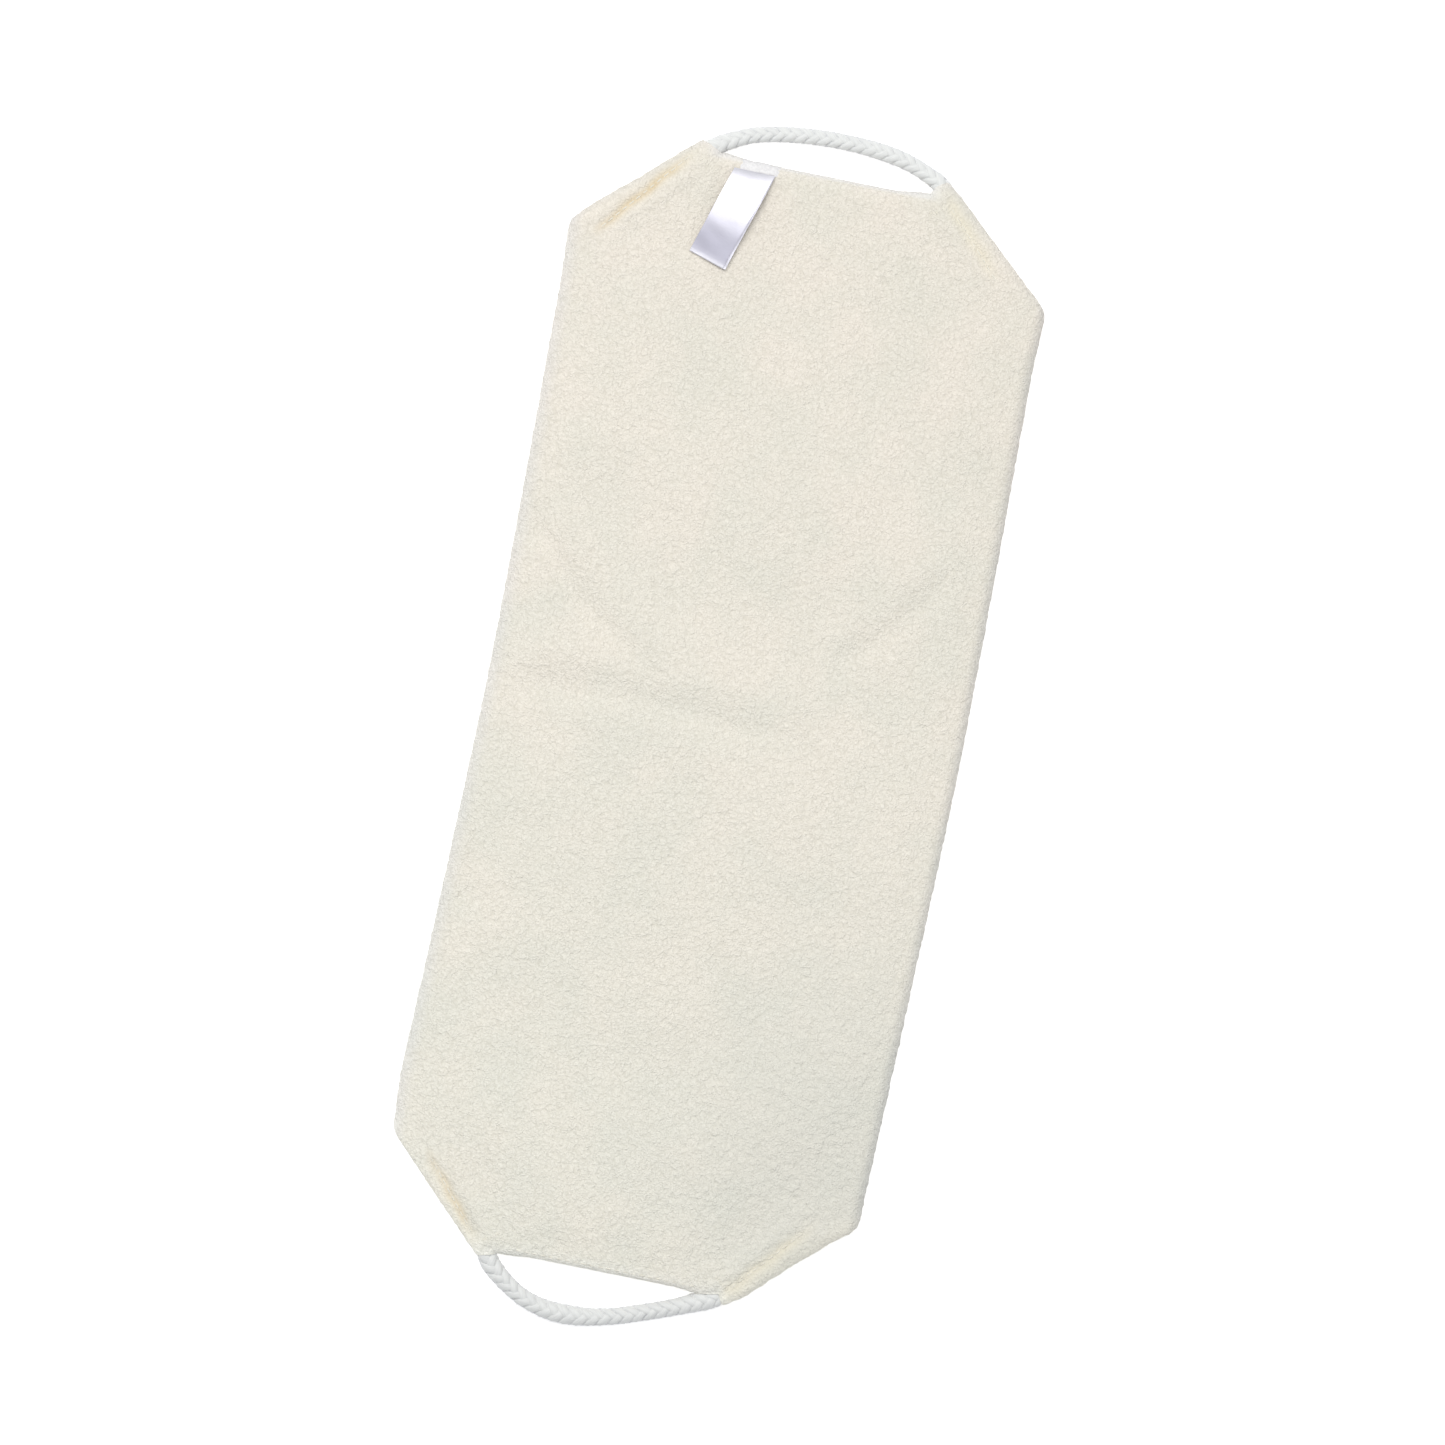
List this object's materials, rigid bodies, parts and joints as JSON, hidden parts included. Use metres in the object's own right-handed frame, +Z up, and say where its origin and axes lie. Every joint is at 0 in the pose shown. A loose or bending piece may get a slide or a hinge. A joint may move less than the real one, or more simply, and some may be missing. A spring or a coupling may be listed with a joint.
{
  "type": "loofah back scrubber",
  "caption": "Long padded scrubbing panel with cut corners, terry on one face and loofah on the other, a cord loop handle at each end and a small ribbon label.",
  "frame": {"origin": "under the middle of the whole object, on the surface that it lies on, loofah side down", "axes": "+Y along the panel towards the labelled end, +X across it, +Z up out of the terry face"},
  "size_m": [0.1924, 0.488, 0.0136],
  "materials": {
    "terry": "matte",
    "foam": "matte",
    "loofah": "matte",
    "cord": "matte",
    "cord_filler": "matte",
    "thread": "matte",
    "satin": "satin"
  },
  "bodies": {
    "pad_middle": {"terry_front_middle": "terry", "foam_core_middle": "foam", "loofah_back_middle": "loofah", "side_seam_left_middle": "thread", "side_seam_right_middle": "thread"},
    "pad_upper": {"terry_front_upper": "terry", "foam_core_upper": "foam", "loofah_back_upper": "loofah", "hem_stitching_upper": "thread", "side_seam_left_upper": "thread", "rope_end_upper_left": "cord", "rope_end_filler_upper_left": "cord_filler", "casing_stitching_upper_left": "thread", "bar_tack_upper_left": "thread", "side_seam_right_upper": "thread", "rope_end_upper_right": "cord", "rope_end_filler_upper_right": "cord_filler", "casing_stitching_upper_right": "thread", "bar_tack_upper_right": "thread", "label_root": "satin"},
    "handle_upper": {"rope_handle_upper": "cord", "rope_filler_upper": "cord_filler"},
    "pad_lower": {"terry_front_lower": "terry", "foam_core_lower": "foam", "loofah_back_lower": "loofah", "hem_stitching_lower": "thread", "side_seam_left_lower": "thread", "rope_end_lower_left": "cord", "rope_end_filler_lower_left": "cord_filler", "casing_stitching_lower_left": "thread", "bar_tack_lower_left": "thread", "side_seam_right_lower": "thread", "rope_end_lower_right": "cord", "rope_end_filler_lower_right": "cord_filler", "casing_stitching_lower_right": "thread", "bar_tack_lower_right": "thread"},
    "handle_lower": {"rope_handle_lower": "cord", "rope_filler_lower": "cord_filler"},
    "label_flap": {"label_ribbon": "satin"}
  },
  "joints": [
    {"name": "bend_upper", "type": "hinge", "parent": "pad_middle", "child": "pad_upper", "pos_m": [0, 0.0772, 0.0054], "axis": [1, 0, 0], "range_deg": [-45, 45], "stiffness_Nm_per_rad": 0.12},
    {"name": "bend_lower", "type": "hinge", "parent": "pad_middle", "child": "pad_lower", "pos_m": [0, -0.0728, 0.0054], "axis": [-1, 0, 0], "range_deg": [-45, 45], "stiffness_Nm_per_rad": 0.12},
    {"name": "flop_upper", "type": "hinge", "parent": "pad_upper", "child": "handle_upper", "pos_m": [0, 0.2312, 0.005], "axis": [1, 0, 0], "range_deg": [-90, 90]},
    {"name": "flop_lower", "type": "hinge", "parent": "pad_lower", "child": "handle_lower", "pos_m": [0, -0.2268, 0.005], "axis": [-1, 0, 0], "range_deg": [-90, 90]},
    {"name": "label_lift", "type": "hinge", "parent": "pad_upper", "child": "label_flap", "pos_m": [-0.0269, 0.2222, 0.01172], "axis": [-1, 0, 0], "range_deg": [0, 110]}
  ]
}
